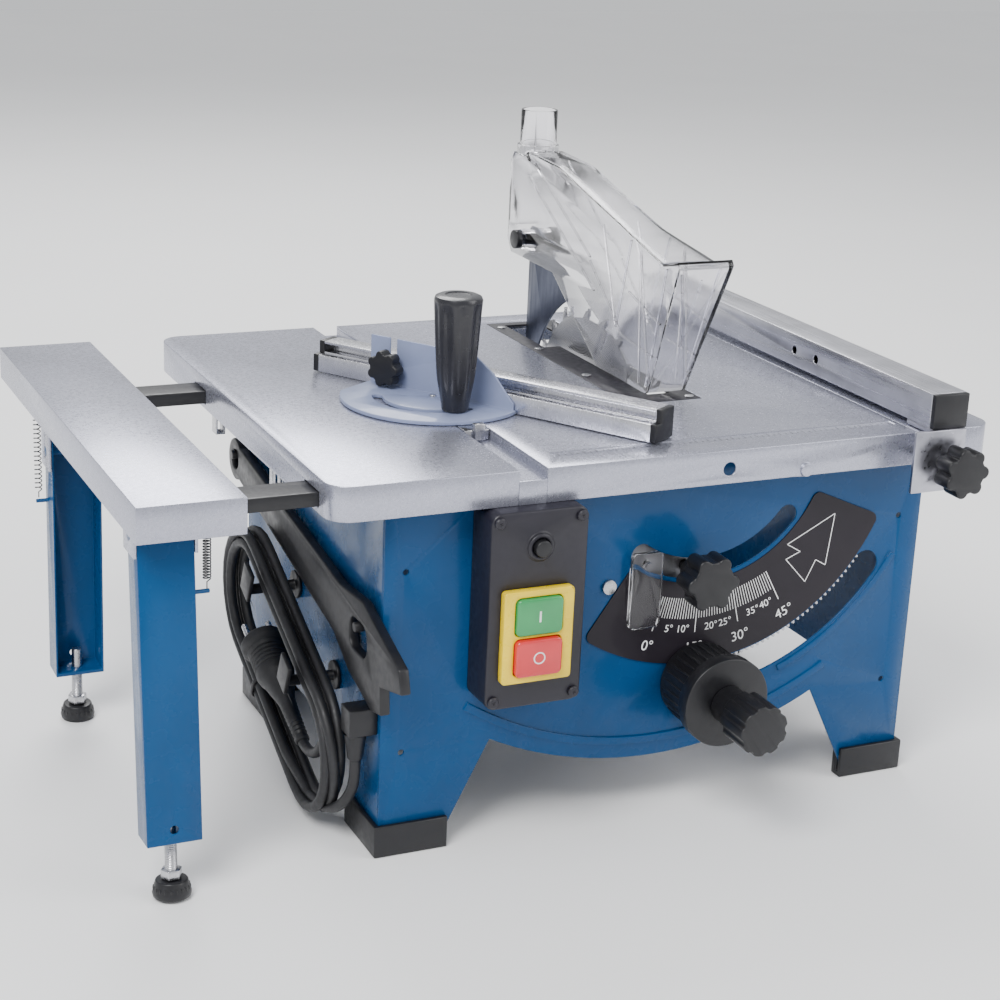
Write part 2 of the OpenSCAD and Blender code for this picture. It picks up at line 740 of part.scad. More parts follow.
module ext_ears(i) for (s = [-1, 1]) difference() {
    translate([leg_x[i] + s * (leg_w / 2 + 1.4) - 1, leg_hy[i] - 13, leg_hz[i] - 13])
        cube([2, 26, under - leg_hz[i] + 13]);
    rod_along_x(4 + run, leg_hy[i], leg_hz[i], leg_x[i] - 30, leg_x[i] + 30);
}

module ext_table() color(zinc) place() {
    difference() {
        rimmed(ext_l, ext_r, true, true);
        for (y = rail_y) box([ext_r - 3, y - 14, rail_z0], [ext_r + 1, y + 14, rail_z1]);
    }
    for (i = [0, 1]) ext_ears(i);
    // Tabs that the springs hang from
    for (i = [0, 1])
        box([spring_x[i] - 3, spring_y[i] - 2, 262], [spring_x[i] + 3, spring_y[i] + 2, under]);
}

module ext_rails() color(black) place() for (y = rail_y) {
    box([-338, y - 14, rail_z0], [-90, y + 14, rail_z1]);
    box([-338, y - 10, rail_z1 - eps], [-324, y + 10, under]);
}

// A folding leg: channel, hinge pin and end plate. Its open side faces dir
module folding_leg(i, dir) place()
translate([leg_x[i], leg_hy[i], leg_hz[i]]) rotate([-dir * splay[i], 0, 0])
let (len = leg_hz[i] - leg_end) difference() {
    union() {
        difference() {
            translate([-leg_w / 2, -12, -len]) cube([leg_w, 24, len + 12]);
            translate([-leg_w / 2 + 1.5, dir > 0 ? -10.5 : -13, -len + 3])
                cube([leg_w - 3, 23.5, len + 20]);
        }
        rod_along_x(4, 0, 0, -leg_w / 2 - 2.4, leg_w / 2 + 2.4);
        // Pin for the spring's lower end
        rod_along_x(1.5, -dir * 6, -42, dir > 0 ? leg_w / 2 - 1 : -28,
            dir > 0 ? 30 : -leg_w / 2 + 1);
    }
    translate([0, 0, -len - 1]) cylinder(r = 4 + run, h = 6);
    rod_along_y(3, 0, -len + 10, dir > 0 ? -14 : 9, dir > 0 ? -9 : 14);
}
module ext_leg_front() color(blue) folding_leg(0, 1);
module ext_leg_rear() color(blue) folding_leg(1, -1);

// Levelling foot on a threaded stud with a hexagon nut
module level_foot(i, dir) place()
translate([leg_x[i], leg_hy[i], leg_hz[i]]) rotate([-dir * splay[i], 0, 0])
let (len = leg_hz[i] / cos(splay[i]) - pad_r * tan(splay[i]) - 0.02) {
    translate([0, 0, -len + 8]) cylinder(r = 4, h = 52);
    translate([0, 0, -len + 13]) cylinder(r = 7.5, h = 6.5, $fn = 6);
    translate([0, 0, -len + 3]) cylinder(r1 = 13.5, r2 = 11, h = 9);
    translate([0, 0, -len]) cylinder(r1 = pad_r, r2 = 13.5, h = 3);
}
module foot_front() color(black) level_foot(0, 1);
module foot_rear() color(black) level_foot(1, -1);

// Tension springs beside the legs, drawn as plain sleeves with end hooks
module leg_spring(i) place() translate([spring_x[i], spring_y[i], 0]) {
    translate([0, 0, leg_hz[i] - 34]) cylinder(r = 3, h = 258 - leg_hz[i] + 34);
    translate([0, 0, 257]) cylinder(r = 1, h = 5);
    translate([0, 0, leg_hz[i] - 39.8]) cylinder(r = 1, h = 7);
}
module spring_front() color(steel) leg_spring(0);
module spring_rear() color(steel) leg_spring(1);

// ---------- mains lead and push stick ----------

module hank_2d(r) {
    rotate(hank_a) {
        square([2 * hank_h, 2 * r], center = true);
        for (s = [-1, 1]) translate([s * hank_h, 0]) circle(r);
    }
}

module cord_hank() color(black) place() {
    sideways(hank_x0, hank_x1) translate(hank_c) difference() {
        hank_2d(hank_r);
        hank_2d(hank_r - 17);
    }
    // The last fold, which turns from the upper run into the plug
    sideways(-243 - cord_d / 2, -243 + cord_d / 2) translate(hank_c) rotate(hank_a)
        translate([plug_y, (tail_s + plug_s) / 2]) difference() {
            circle((tail_s - plug_s + cord_d) / 2);
            circle((tail_s - plug_s - cord_d) / 2);
            translate([0, -60]) square([60, 120]);
        }
}

// Tube swept along a route, with rings square to the route
function unit(v) = v / norm(v);
function ring(p, t, r, n) =
    let (u = unit(cross(t, [1, 0, 0])), w = cross(t, u))
    [for (k = [0:n - 1]) p + r * (cos(k * 360 / n) * u + sin(k * 360 / n) * w)];
module tube(route, r, n) {
    m = len(route);
    pts = [for (i = [0:m - 1])
        let (t = unit(route[min(i + 1, m - 1)] - route[max(i - 1, 0)]))
        each ring(route[i], t, r, n)];
    faces = concat([[for (k = [n - 1:-1:0]) k]],
        [for (i = [0:m - 2], k = [0:n - 1])
            [i * n + k, i * n + (k + 1) % n, (i + 1) * n + (k + 1) % n, (i + 1) * n + k]],
        [[for (k = [0:n - 1]) (m - 1) * n + k]]);
    polyhedron(pts, faces, convexity = 4);
}

module cord_tube() color(black) place() tube(cord_route, cord_d / 2, 12);

module cord_gland() color(black) place() {
    box([-240, -185, 92], [-219, -167, 112]);
    translate([-232, -176, 72]) cylinder(r1 = 5.5, r2 = 8, h = 20 + eps);
}

// Mains plug, lying inside the hank with its pins to the rear
module plug() color(black) place()
translate([-243, hank_c[0], hank_c[1]]) rotate([hank_a, 0, 0]) translate([0, 0, plug_s]) {
    rod_along_y(5.5, 0, 0, plug_y - 2, -21);
    translate([0, -22, 0]) rotate([-90, 0, 0]) cylinder(r1 = 7, r2 = 12, h = 22);
    rod_along_y(15, 0, 0, -eps, 33);
    rod_along_y(18, 0, 0, 33 - eps, 41);
    for (z = [-9.5, 9.5]) rod_along_y(2.4, 0, z, 41 - eps, 60);
}

// Two hooks on the left panel that carry the lead
module side_hooks() color(black) {
    cord_arms();
    stick_pegs();
}
module cord_arms() place() for (s = [-46, 50])
    translate([0, hank_c[0], hank_c[1]]) rotate([hank_a, 0, 0]) translate([0, s, 33]) {
        rod_along_x(4, 0, 0, -262, -bw);
        rod_along_x(11, 0, 0, -bw - 3, -bw);
        box([-262, -9, -4], [-258.5, 9, 22]);
    }
// Pegs that the push stick hangs on
module stick_pegs() place() for (p = [[115, 209], [-168, 168]])
    rod_along_x(3.6, p[0], p[1], -232, -bw);

// Push stick hung on the left panel
module push_stick() color(black) place() {
    sideways(-229, -221.5) difference() {
        union() {
            polygon([
                [-245, 166], [-250, 150], [-212, 140], [-214, 120], [-196, 116], [-150, 128],
                [-118, 146], [110, 191], [118, 219], [-128, 186], [-175, 189]]);
            translate([115, 205]) circle(17);
        }
        translate([115, 205]) circle(8);
        translate([-168, 160]) round_rect(34, 24, 10);
    }
}

front_panel();
side_panels();
rear_panel();
foot_caps();
table_main();
table_left();
table_right();
mitre_channel();
table_insert();
rail_guides();
switch_box();
switch_bezel();
root_screws();
scale_plate();
tilt_rack();
table_hooks();
cord_gland();
cord_tube();
cord_hank();
plug();
side_hooks();
push_stick();
tilt_frame();
guide_rods();
pointer();
lock_knob();
tilt_wheel();
lift_knob();
lead_screw();
lift_carriage();
motor();
riving_knife();
saw_blade();
arbor();
motor_shaft();
guard_bolt();
guard();
fence_rail();
fence_cap();
fence_clamp();
fence_knob();
mitre_bar();
mitre_head();
mitre_handle();
mitre_fence();
mitre_caps();
mitre_knob();
ext_table();
ext_rails();
ext_leg_front();
ext_leg_rear();
foot_front();
foot_rear();
spring_front();
spring_rear();
start_button();
stop_button();
reset_button();
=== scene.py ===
"""Looks of the bench table saw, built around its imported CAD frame."""

import json
import math

import bmesh
import bpy
from mathutils import Matrix, Vector


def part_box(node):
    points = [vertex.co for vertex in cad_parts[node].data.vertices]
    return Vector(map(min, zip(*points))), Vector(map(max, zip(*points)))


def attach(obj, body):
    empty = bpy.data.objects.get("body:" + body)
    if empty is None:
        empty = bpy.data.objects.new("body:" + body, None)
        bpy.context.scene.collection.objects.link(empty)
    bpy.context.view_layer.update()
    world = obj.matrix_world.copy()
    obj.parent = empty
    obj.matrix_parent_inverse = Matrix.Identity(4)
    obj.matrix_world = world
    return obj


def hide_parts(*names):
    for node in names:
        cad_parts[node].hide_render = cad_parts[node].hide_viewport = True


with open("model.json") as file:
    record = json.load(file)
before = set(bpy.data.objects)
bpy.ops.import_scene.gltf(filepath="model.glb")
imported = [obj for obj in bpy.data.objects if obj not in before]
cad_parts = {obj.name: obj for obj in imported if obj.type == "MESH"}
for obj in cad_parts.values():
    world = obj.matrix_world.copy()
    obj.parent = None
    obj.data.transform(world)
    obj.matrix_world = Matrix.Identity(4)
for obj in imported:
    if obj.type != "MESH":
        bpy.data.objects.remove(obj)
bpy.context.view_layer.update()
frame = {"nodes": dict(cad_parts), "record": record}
MM = 0.001
TINY = 1e-6

# The drawing's own origin is the table's centre, on the floor
LEFT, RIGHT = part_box("table_left"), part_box("table_right")
ORIGIN = Vector(((LEFT[0].x + RIGHT[1].x) / 2, (RIGHT[0].y + RIGHT[1].y) / 2, 0))


def at(x, y, z):
    """A point given in millimetres from the table's centre and the floor."""
    return ORIGIN + Vector((x, y, z)) * MM


def share_of(part, whole):
    """part / whole, kept between 0 and 1."""
    return min(1.0, max(0.0, part / whole))


def turned(direction, up=(0, 0, 1)):
    """A rotation whose local Z points along direction."""
    z = Vector(direction).normalized()
    x = Vector(up).cross(z)
    if x.length < TINY:
        x = Vector((1, 0, 0))
    x.normalize()
    return Matrix((x, z.cross(x), z)).transposed().to_4x4()


# ---------- camera ----------

CAMERA_ANGLES = (-25.1, 18.35, 2.5)
CAMERA_DISTANCE = 1.6
CAMERA_TARGET = Vector((0.006, 0.0105, 0.199))
LENS, SENSOR = 73.9, 36


def make_camera():
    """A long lens from the front left, slightly rolled."""
    azimuth, elevation, roll = (math.radians(a) for a in CAMERA_ANGLES)
    forward = Vector((-math.sin(azimuth) * math.cos(elevation),
                      math.cos(azimuth) * math.cos(elevation), -math.sin(elevation)))
    right = Vector((math.cos(azimuth), math.sin(azimuth), 0))
    up = right.cross(forward)
    x = right * math.cos(roll) + up * math.sin(roll)
    y = up * math.cos(roll) - right * math.sin(roll)
    data = bpy.data.cameras.new("camera")
    data.lens, data.sensor_width = LENS, SENSOR
    data.clip_start, data.clip_end = 0.05, 20
    camera = bpy.data.objects.new("camera", data)
    camera.matrix_world = (Matrix.Translation(CAMERA_TARGET - forward * CAMERA_DISTANCE)
                           @ Matrix((x, y, -forward)).transposed().to_4x4())
    bpy.context.scene.collection.objects.link(camera)
    bpy.context.scene.camera = camera


make_camera()


# ---------- materials ----------

class Nodes:
    """Short calls for building one material's node tree."""

    def __init__(self, name):
        self.material = bpy.data.materials.new(name)
        self.material.use_nodes = True
        self.tree = self.material.node_tree
        self.shader = self.tree.nodes["Principled BSDF"]
        self.coords = self.tree.nodes.new("ShaderNodeTexCoord").outputs["Object"]

    def node(self, kind, **values):
        new = self.tree.nodes.new("ShaderNode" + kind)
        for key, value in values.items():
            setattr(new, key, value)
        return new

    def link(self, a, b):
        self.tree.links.new(a, b)

    def noise(self, scale, detail=2.0, stretch=None):
        """Noise whose features are about 1 / scale metres across."""
        new = self.node("TexNoise")
        new.inputs["Scale"].default_value = scale
        new.inputs["Detail"].default_value = detail
        source = self.coords
        if stretch:
            mapping = self.node("Mapping")
            mapping.inputs["Scale"].default_value = stretch
            self.link(source, mapping.inputs["Vector"])
            source = mapping.outputs["Vector"]
        self.link(source, new.inputs["Vector"])
        return new.outputs["Fac"]

    def ramp(self, factor, stops):
        """Maps 0..1 to greys or colours; stops are (place, value) pairs."""
        new = self.node("ValToRGB")
        for i, (place, value) in enumerate(stops):
            spot = new.color_ramp.elements[i] if i < 2 else new.color_ramp.elements.new(place)
            spot.position = place
            spot.color = (value,) * 3 + (1,) if isinstance(value, float) else (*value, 1)
        self.link(factor, new.inputs["Fac"])
        return new.outputs["Color"]

    def edges(self, radius):
        """White along outer edges, for paler edges that are partly wear and partly painted
        highlight.
        """
        bevel = self.node("Bevel", samples=4)
        bevel.inputs["Radius"].default_value = radius
        flat = self.node("NewGeometry")
        dot = self.node("VectorMath", operation="DOT_PRODUCT")
        self.link(bevel.outputs["Normal"], dot.inputs[0])
        self.link(flat.outputs["Normal"], dot.inputs[1])
        return self.ramp(dot.outputs["Value"], [(0.8, 1.0), (0.97, 0.0)])

    def bump(self, height, strength, distance):
        new = self.node("Bump")
        new.inputs["Strength"].default_value = strength
        new.inputs["Distance"].default_value = distance
        self.link(height, new.inputs["Height"])
        self.link(new.outputs["Normal"], self.shader.inputs["Normal"])

    def mix(self, factor, a, b):
        new = self.node("Mix", data_type="RGBA")
        for socket, value in ((new.inputs["Factor"], factor), (new.inputs["A"], a),
                              (new.inputs["B"], b)):
            if isinstance(value, tuple):
                socket.default_value = (*value, 1)
            elif isinstance(value, float):
                socket.default_value = value
            else:
                self.link(value, socket)
        return new.outputs["Result"]

    def set(self, **values):
        for key, value in values.items():
            self.shader.inputs[key.replace("_", " ")].default_value = value


def shade(colour, k):
    return tuple(min(1.0, c * k) for c in colour)


def painted(name, colour, rough=0.22, coat=0.6):
    """Gloss powder coat: slight orange peel, faint mottling, edges paler as wear and painted
    highlight.
    """
    n = Nodes(name)
    tone = n.ramp(n.noise(14, 3), [(0.3, shade(colour, 0.9)), (0.7, shade(colour, 1.08))])
    # A paler copy of the coat along its edges: partly wear, partly painted highlight.
    tone = n.mix(n.edges(0.0008), tone, shade(colour, 1.35))
    n.link(tone, n.shader.inputs["Base Color"])
    n.link(n.ramp(n.noise(60, 3), [(0.3, rough * 0.8), (0.7, rough * 1.25)]),
           n.shader.inputs["Roughness"])
    n.bump(n.noise(900, 1), 0.10, 0.00012)
    n.set(Coat_Weight=coat, Coat_Roughness=0.06, Specular_IOR_Level=0.2)
    return n.material


def galvanised(name, colour):
    """Zinc sheet with a fine hammered grain and a soft sheen."""
    n = Nodes(name)
    flakes = n.node("TexVoronoi")
    flakes.inputs["Scale"].default_value = 700
    n.link(n.coords, flakes.inputs["Vector"])
    sparkle = n.ramp(flakes.outputs["Color"], [(0.1, 0.15), (0.9, 1.0)])
    cloud = n.ramp(n.noise(9, 4), [(0.3, shade(colour, 0.92)), (0.7, shade(colour, 1.05))])
    n.link(n.mix(0.05, cloud, sparkle), n.shader.inputs["Base Color"])
    n.link(n.ramp(n.noise(350, 3), [(0.3, 0.24), (0.7, 0.33)]), n.shader.inputs["Roughness"])
    n.bump(n.noise(650, 2), 0.10, 0.00008)
    n.set(Metallic=0.75)
    return n.material


def metal(name, colour, rough=0.3, grain=(1, 1, 1), scale=300):
    """Bare or plated metal with a directional grain and small stains."""
    n = Nodes(name)
    tone = n.ramp(n.noise(40, 3), [(0.3, shade(colour, 0.85)), (0.7, shade(colour, 1.08))])
    n.link(tone, n.shader.inputs["Base Color"])
    lines = n.noise(scale, 3, grain)
    n.link(n.ramp(lines, [(0.3, rough * 0.75), (0.7, rough * 1.3)]), n.shader.inputs["Roughness"])
    n.bump(lines, 0.15, 0.0001)
    n.set(Metallic=1.0)
    return n.material


def blade_metal(name, colour):
    """Ground steel with rings of grinding marks about the arbor."""
    n = Nodes(name)
    low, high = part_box("saw_blade")
    shift = n.node("Mapping")
    shift.inputs["Location"].default_value = -(low + high) / 2
    n.link(n.coords, shift.inputs["Vector"])
    rings = n.node("TexWave", wave_type="RINGS", rings_direction="X")
    rings.inputs["Scale"].default_value = 260
    rings.inputs["Distortion"].default_value = 1.2
    n.link(shift.outputs["Vector"], rings.inputs["Vector"])
    stain = n.ramp(n.noise(25, 4), [(0.3, shade(colour, 0.75)), (0.7, colour)])
    n.link(stain, n.shader.inputs["Base Color"])
    n.link(n.ramp(rings.outputs["Fac"], [(0.0, 0.2), (1.0, 0.42)]), n.shader.inputs["Roughness"])
    n.bump(rings.outputs["Fac"], 0.2, 0.00008)
    n.set(Metallic=1.0)
    return n.material


def plastic(name, colour, rough=0.45, texture=700, depth=0.3, coat=0.0):
    """Moulded plastic: fine spark texture, slight tone change, edges paler as scuffs and painted
    highlight.
    """
    n = Nodes(name)
    tone = n.ramp(n.noise(30, 3), [(0.3, shade(colour, 0.85)), (0.7, shade(colour, 1.15))])
    # A paler copy of the plastic along its edges: partly scuffing, partly painted highlight.
    edge_wear_and_highlight = tuple(min(1.0, c * 1.2 + 0.008) for c in colour)
    n.link(n.mix(n.edges(0.0008), tone, edge_wear_and_highlight), n.shader.inputs["Base Color"])
    n.link(n.ramp(n.noise(200, 3), [(0.3, rough * 0.85), (0.7, rough * 1.2)]),
           n.shader.inputs["Roughness"])
    n.bump(n.noise(texture, 2), depth, 0.00015)
    n.set(Coat_Weight=coat, Coat_Roughness=0.08)
    return n.material


def clear(name, tint):
    """Clear moulded polycarbonate with faint flow waves and dust."""
    n = Nodes(name)
    n.link(n.ramp(n.noise(180, 4), [(0.35, 0.02), (0.8, 0.16)]), n.shader.inputs["Roughness"])
    n.link(n.ramp(n.noise(12, 2), [(0.3, shade(tint, 0.97)), (0.7, tint)]),
           n.shader.inputs["Base Color"])
    n.bump(n.noise(35, 2), 0.12, 0.0006)
    n.set(IOR=1.35, Transmission_Weight=1.0)
    return n.material


def rubber(name, colour):
    """Matt black sheathing with a fine grain."""
    n = Nodes(name)
    tone = n.ramp(n.noise(50, 3), [(0.3, shade(colour, 0.7)), (0.7, shade(colour, 1.4))])
    n.link(tone, n.shader.inputs["Base Color"])
    n.link(n.ramp(n.noise(300, 3), [(0.3, 0.42), (0.7, 0.6)]), n.shader.inputs["Roughness"])
    n.bump(n.noise(1500, 2), 0.15, 0.0001)
    return n.material


BLUE = painted("blue_powder_coat", (0.0, 0.054, 0.168), 0.26, 0.12)
ZINC = galvanised("galvanised_sheet", (0.43, 0.44, 0.53))
BLACK = plastic("black_plastic", (0.007, 0.007, 0.009), 0.4)
HANDLE = plastic("handle_plastic", (0.012, 0.012, 0.016), 0.3, 900, 0.12, 0.15)
BOX = plastic("switch_box_plastic", (0.010, 0.009, 0.016), 0.42, 500, 0.35)
YELLOW = plastic("yellow_plastic", (0.85, 0.60, 0.003), 0.3, 900, 0.1, 0.3)
GREEN = plastic("green_plastic", (0.01, 0.27, 0.07), 0.2, 900, 0.06, 0.7)
RED = plastic("red_plastic", (0.62, 0.012, 0.02), 0.2, 900, 0.06, 0.7)
WHITE = plastic("white_print", (0.85, 0.85, 0.85), 0.5, 900, 0.05)
STEEL = metal("zinc_plated_steel", (0.56, 0.56, 0.58), 0.28)
GALV_CLAMP = metal("clamp_steel", (0.48, 0.48, 0.54), 0.34)
RAIL = metal("extruded_aluminium", (0.68, 0.68, 0.73), 0.3, (1, 0.02, 1), 500)
PROFILE = metal("mitre_aluminium", (0.78, 0.78, 0.82), 0.24, (1, 1, 0.3), 400)
CAST = metal("die_cast_alloy", (0.36, 0.36, 0.38), 0.5, (1, 1, 1), 600)
KNIFE = metal("blued_steel", (0.085, 0.095, 0.135), 0.38, (1, 1, 0.1), 300)
SPRING = metal("spring_steel", (0.03, 0.03, 0.034), 0.42)
BLADE = blade_metal("ground_steel", (0.42, 0.42, 0.44))
SCALE = painted("scale_paint", (0.016, 0.013, 0.018), 0.4, 0.1)
MITRE = painted("mitre_paint", (0.24, 0.28, 0.43), 0.34, 0.25)
MOTOR = plastic("motor_shell", (0.03, 0.03, 0.034), 0.5, 300, 0.5)
CORD = rubber("cord_rubber", (0.012, 0.012, 0.014))
CLEAR = clear("clear_polycarbonate", (0.985, 0.98, 1.0))

FINISH = {
    "front_panel": BLUE, "side_panels": BLUE, "rear_panel": BLUE, "ext_leg_front": BLUE,
    "ext_leg_rear": BLUE, "table_main": ZINC, "table_left": ZINC, "table_right": ZINC,
    "mitre_channel": ZINC, "ext_table": ZINC, "table_insert": BOX, "rail_guides": BLACK,
    "foot_caps": BLACK, "guard_bolt": BLACK, "fence_cap": BLACK, "mitre_caps": BLACK,
    "ext_rails": BLACK, "side_hooks": BLACK, "push_stick": BLACK, "cord_gland": BLACK,
    "foot_front": BLACK, "foot_rear": BLACK, "lock_knob": BLACK, "tilt_wheel": BLACK,
    "lift_knob": BLACK, "fence_knob": BLACK, "mitre_knob": BLACK, "mitre_handle": HANDLE,
    "reset_button": BLACK, "switch_box": BOX, "switch_bezel": YELLOW, "start_button": GREEN,
    "stop_button": RED, "root_screws": STEEL, "tilt_rack": STEEL, "table_hooks": STEEL,
    "guide_rods": STEEL, "lead_screw": STEEL, "arbor": STEEL, "motor_shaft": STEEL,
    "fence_clamp": GALV_CLAMP, "mitre_bar": STEEL, "spring_front": SPRING,
    "spring_rear": SPRING, "scale_plate": SCALE, "riving_knife": KNIFE, "saw_blade": BLADE,
    "pointer": CLEAR, "guard": CLEAR, "fence_rail": RAIL, "mitre_fence": PROFILE,
    "mitre_head": MITRE, "tilt_frame": CAST, "lift_carriage": CAST, "motor": MOTOR,
    "cord_tube": CORD, "cord_hank": CORD, "plug": CORD,
}


def finish_nodes():
    for name, node in frame["nodes"].items():
        node.data.materials.clear()
        node.data.materials.append(FINISH[name])


finish_nodes()
BODY_OF = {n: b for b, nodes in frame["record"]["behaviour"]["bodies"].items() for n in nodes}

# Shared places in mm: the tilt axis (x, z), the front panel's face, the height of the
# handwheel and lift knob, and the blade's plane
AXIS = (30, 280)
FRONT = -190
WHEEL_Z = 103
BLADE_X = 54


# ---------- mesh helpers ----------

SMOOTH_ANGLE = 35


def link_mesh(name, bm, material, smooth_angle=SMOOTH_ANGLE):
    """Turns a bmesh into a linked object with sharp edges kept sharp."""
    mesh = bpy.data.meshes.new(name)
    bmesh.ops.recalc_face_normals(bm, faces=bm.faces)
    bm.to_mesh(mesh)
    bm.free()
    mesh.shade_smooth()
    mesh.set_sharp_from_angle(angle=math.radians(smooth_angle))
    mesh.materials.append(material)
    obj = bpy.data.objects.new(name, mesh)
    bpy.context.scene.collection.objects.link(obj)
    return obj


def apply_modifiers(obj):
    graph = bpy.context.evaluated_depsgraph_get()
    mesh = bpy.data.meshes.new_from_object(obj.evaluated_get(graph))
    obj.modifiers.clear()
    obj.data = mesh
    mesh.shade_smooth()
    mesh.set_sharp_from_angle(angle=math.radians(SMOOTH_ANGLE))


def bevel(obj, width, segments=2, angle=32):
    """Rounds every edge sharper than angle."""
    modifier = obj.modifiers.new("round", "BEVEL")
    modifier.width = width * MM
    modifier.segments = segments
    modifier.limit_method = "ANGLE"
    modifier.angle_limit = math.radians(angle)
    modifier.use_clamp_overlap = False
    apply_modifiers(obj)


def stands_for(obj, node):
    """The piece takes a CAD node's place and body, and the node is hidden."""
    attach(obj, BODY_OF[node])
    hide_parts(node)
    return obj


def on_body(obj, body):
    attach(obj, body)
    return obj


def cad_shape(node):
    """The CAD node's shape, with each flat face whole instead of in triangles."""
    bm = bmesh.new()
    bm.from_mesh(frame["nodes"][node].data)
    bmesh.ops.remove_doubles(bm, verts=bm.verts, dist=0.01 * MM)
    bmesh.ops.dissolve_limit(bm, angle_limit=math.radians(0.5), verts=bm.verts, edges=bm.edges)
    return bm


def rounded_copy(node, width, segments=2):
    """The CAD node's own shape with its edges rounded."""
    obj = link_mesh(node + "_rounded", cad_shape(node), FINISH[node])
    bevel(obj, width, segments)
    return stands_for(obj, node)


def skin(bm, rings):
    """Faces along a row of rings with equal numbers of points, and over both ends."""
    for low, high in zip(rings, rings[1:]):
        for k in range(len(low)):
            after = (k + 1) % len(low)
            bm.faces.new((low[k], low[after], high[after], high[k]))
    bm.faces.new(rings[0][::-1])
    bm.faces.new(rings[-1])


def lathe(name, outline, place, material, sides=64, shape=None):
    """A turned piece: outline is (radius, height) in mm along local Z.

    shape(angle, height) gives a factor on the radius, for flutes and lobes."""
    bm = bmesh.new()
    rings = []
    for radius, height in outline:
        ring = []
        for k in range(sides):
            a = 2 * math.pi * k / sides
            r = radius * (shape(a, height) if shape else 1)
            ring.append(bm.verts.new(place @ (Vector((r * math.cos(a), r * math.sin(a),
                                                      height)) * MM)))
        rings.append(ring)
    skin(bm, rings)
    return link_mesh(name, bm, material)


def bar(name, start, end, width, height, material, up=(0, 0, 1)):
    """A straight bar between two points, width by height across (mm)."""
    start, end = Vector(start), Vector(end)
    place = Matrix.Translation(start) @ turned(end - start, up)
    depth = (end - start).length / MM
    w, h = width / 2, height / 2
    bm = bmesh.new()
    corners = [(-w, -h), (w, -h), (w, h), (-w, h)]
    skin(bm, [[bm.verts.new(place @ (Vector((x, y, z)) * MM)) for x, y in corners]
              for z in (0, depth)])
    return link_mesh(name, bm, material)


def join(name, objects):
    """Joins meshes into the first one."""
    bm = bmesh.new()
    for obj in objects:
        bm.from_mesh(obj.data)
    mesh = bpy.data.meshes.new(name)
    bm.to_mesh(mesh)
    bm.free()
    mesh.materials.append(objects[0].data.materials[0])
    mesh.shade_smooth()
    mesh.set_sharp_from_angle(angle=math.radians(SMOOTH_ANGLE))
    for obj in objects:
        bpy.data.objects.remove(obj)
    joined = bpy.data.objects.new(name, mesh)
    bpy.context.scene.collection.objects.link(joined)
    return joined


def tube(name, points, radius, material, sides):
    """A round wire or pipe along points in metres; radius in mm."""
    bm = bmesh.new()
    rings = []
    side = Vector((1, 0, 0))
    for i, p in enumerate(points):
        ahead = points[min(i + 1, len(points) - 1)]
        behind = points[max(i - 1, 0)]
        t = (Vector(ahead) - Vector(behind)).normalized()
        side = side - t * side.dot(t)
        if side.length < TINY:
            side = t.orthogonal()
        side.normalize()
        other = t.cross(side)
        rings.append([bm.verts.new(Vector(p) + (side * math.cos(a) + other * math.sin(a))
                                   * radius * MM)
                      for a in (2 * math.pi * k / sides for k in range(sides))])
    skin(bm, rings)
    return link_mesh(name, bm, material, 60)


# ---------- mains lead ----------

# In mm: the hank's middle, half its straight length and its slope, the plug's place, the
# radii of the hank's bends and the two layers it lies in
CORD_D = 8
HANK_Y, HANK_Z = -45, 92
HANK_HALF, HANK_SLOPE = 75, math.radians(24)
PLUG_X, PLUG_START, PLUG_OFFSET = -243, -62, -16
INNER, OUTER = 42.4, 50.6
NEAR, FAR = -237.4, -247.7
TURN_POINTS, FOLD_POINTS = 48, 16
# A turn eases into the next over its last part, which starts at this share of it
EASE_FROM = 0.7

# Where the lead leaves the gland and drops to the hank, in metres
CORD_ROUTE = [
    (-0.232, -0.176, 0.072), (-0.232, -0.176, 0.062), (-0.233, -0.175, 0.050),
    (-0.236, -0.171, 0.039), (-0.239, -0.163, 0.030), (-0.241, -0.152, 0.024),
    (-0.242, -0.139, 0.020), (-0.242, -0.124, 0.017), (-0.242, -0.110, 0.015)]


def in_hank(x, along, across):
    """A point of the hank, from its centre along and across its slope (mm)."""
    c, s = math.cos(HANK_SLOPE), math.sin(HANK_SLOPE)
    return at(x, HANK_Y + along * c - across * s, HANK_Z + along * s + across * c)


def oval(share, radius):
    """A point on a long loop, from 0 to 1 round it, starting at its low front."""
    straight, bend = 2 * HANK_HALF, math.pi * radius
    d = (share % 1) * 2 * (straight + bend)
    if d < straight:
        return -HANK_HALF + d, -radius
    d -= straight
    if d < bend:
        a = d / radius - math.pi / 2
        return HANK_HALF + radius * math.cos(a), radius * math.sin(a)
    d -= bend
    if d < straight:
        return HANK_HALF - d, radius
    a = (d - straight) / radius + math.pi / 2
    return -HANK_HALF + radius * math.cos(a), radius * math.sin(a)


def eased(t):
    """0 to 1 with a smooth start and end."""
    return t * t * (3 - 2 * t)


def curved(points, steps=4):
    """The same points with more between them on a smooth curve."""
    out = []
    for i in range(len(points) - 1):
        p0, p1, p2, p3 = (points[min(max(i + k, 0), len(points) - 1)] for k in (-1, 0, 1, 2))
        for k in range(steps):
            t = k / steps
            out.append(0.5 * (2 * p1 + (p2 - p0) * t + (2 * p0 - 5 * p1 + 4 * p2 - p3) * t ** 2
                              + (3 * p1 - p0 - 3 * p2 + p3) * t ** 3))
    return out + [points[-1]]


